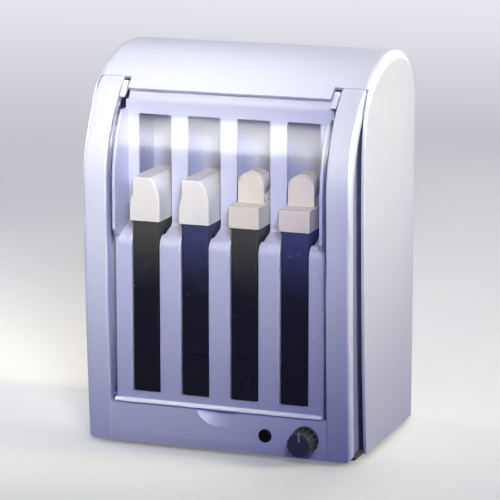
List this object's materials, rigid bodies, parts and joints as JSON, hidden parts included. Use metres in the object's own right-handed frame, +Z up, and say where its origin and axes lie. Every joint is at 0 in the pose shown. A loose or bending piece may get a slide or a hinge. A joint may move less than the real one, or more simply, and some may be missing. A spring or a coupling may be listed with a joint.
{
  "type": "roll-on wax heater",
  "caption": "Countertop heater for roll-on depilatory wax: upright cartridges stand in heated wells behind a comb rack and a clear lift-up door, with a thermostat knob and lamp below.",
  "frame": {"origin": "on the table under the middle of the bounding box", "axes": "+Z up, the front with door and knob looks along -Y, +X to the right seen from the front"},
  "size_m": [0.25, 0.1892, 0.343],
  "materials": {
    "pearl_lilac_abs": "satin pearl moulded ABS",
    "slate_abs": "fine-textured slate blue ABS",
    "dark_grey_abs": "fine-textured dark grey ABS",
    "black_abs": "fine-textured dark ABS",
    "black_anodised": "black anodised",
    "mica_board": "mica laminate",
    "steel": "zinc plated",
    "foot_rubber": "matte",
    "black_phenolic": "moulded",
    "knob_black": "satin moulded grip",
    "lamp_amber": "dark amber lens",
    "clear_door": "clear polished acrylic",
    "door_pin_nylon": "moulded",
    "tank_charcoal": "satin, wax filled",
    "tank_navy": "satin, wax filled",
    "cap_white": "satin polypropylene",
    "head_cream": "satin polypropylene",
    "roller_cream": "smooth"
  },
  "bodies": {
    "heater": {"outer_casing": "pearl_lilac_abs", "front_frame": "pearl_lilac_abs", "inner_chassis": "slate_abs", "cartridge_rack": "pearl_lilac_abs", "bay_liner": "pearl_lilac_abs", "heater_well_1": "black_anodised", "heater_well_2": "black_anodised", "heater_well_3": "black_anodised", "heater_well_4": "black_anodised", "heater_plate_1": "mica_board", "heater_plate_2": "mica_board", "heater_plate_3": "mica_board", "heater_plate_4": "mica_board", "cartridge_rests": "black_abs", "heater_clamp_bar": "steel", "rear_cover": "dark_grey_abs", "rear_screws": "steel", "base_plate": "dark_grey_abs", "base_screws": "steel", "rubber_feet": "foot_rubber", "power_inlet": "black_phenolic", "inlet_pins": "steel", "thermostat_body": "black_phenolic", "thermostat_nut": "steel", "lamp_lens": "lamp_amber", "lamp_body": "black_phenolic"},
    "door": {"door_panel": "clear_door", "door_hinge_pins": "door_pin_nylon"},
    "knob": {"thermostat_knob": "knob_black", "knob_shaft": "steel"},
    "cartridge_1": {"cartridge_tank_1": "tank_charcoal", "roller_head_1": "head_cream"},
    "roller_1_body": {"roller_1": "roller_cream"},
    "cap_1_body": {"cap_1": "cap_white"},
    "cartridge_2": {"cartridge_tank_2": "tank_navy", "roller_head_2": "head_cream"},
    "roller_2_body": {"roller_2": "roller_cream"},
    "cap_2_body": {"cap_2": "cap_white"},
    "cartridge_3": {"cartridge_tank_3": "tank_charcoal", "roller_head_3": "head_cream"},
    "roller_3_body": {"roller_3": "roller_cream"},
    "cartridge_4": {"cartridge_tank_4": "tank_navy", "roller_head_4": "head_cream"},
    "roller_4_body": {"roller_4": "roller_cream"}
  },
  "joints": [
    {"name": "door_hinge", "type": "hinge", "parent": "heater", "child": "door", "pos_m": [0, -0.04234, 0.31431], "axis": [-1, 0, 0], "range_deg": [0, 105]},
    {"name": "knob_turn", "type": "hinge", "parent": "heater", "child": "knob", "pos_m": [0.0802, -0.07606, 0.0212], "axis": [0, -1, 0], "range_deg": [0, 270]},
    {"name": "cartridge_1_lift", "type": "slide", "parent": "heater", "child": "cartridge_1", "axis": [0, 0, 1], "range_m": [0, 0.02]},
    {"name": "roller_1_spin", "type": "hinge", "parent": "cartridge_1", "child": "roller_1_body", "pos_m": [-0.0678, -0.04294, 0.2211], "axis": [0, 1, 0], "continuous": true},
    {"name": "cap_1_lift", "type": "slide", "parent": "cartridge_1", "child": "cap_1_body", "axis": [0, 0, 1], "range_m": [0, 0.02]},
    {"name": "cartridge_2_lift", "type": "slide", "parent": "heater", "child": "cartridge_2", "axis": [0, 0, 1], "range_m": [0, 0.02]},
    {"name": "roller_2_spin", "type": "hinge", "parent": "cartridge_2", "child": "roller_2_body", "pos_m": [-0.0226, -0.04294, 0.2211], "axis": [0, 1, 0], "continuous": true},
    {"name": "cap_2_lift", "type": "slide", "parent": "cartridge_2", "child": "cap_2_body", "axis": [0, 0, 1], "range_m": [0, 0.02]},
    {"name": "cartridge_3_lift", "type": "slide", "parent": "heater", "child": "cartridge_3", "axis": [0, 0, 1], "range_m": [0, 0.02]},
    {"name": "roller_3_spin", "type": "hinge", "parent": "cartridge_3", "child": "roller_3_body", "pos_m": [0.0226, -0.04294, 0.2347], "axis": [0, 1, 0], "continuous": true},
    {"name": "cartridge_4_lift", "type": "slide", "parent": "heater", "child": "cartridge_4", "axis": [0, 0, 1], "range_m": [0, 0.02]},
    {"name": "roller_4_spin", "type": "hinge", "parent": "cartridge_4", "child": "roller_4_body", "pos_m": [0.0678, -0.04294, 0.2347], "axis": [0, 1, 0], "continuous": true}
  ]
}
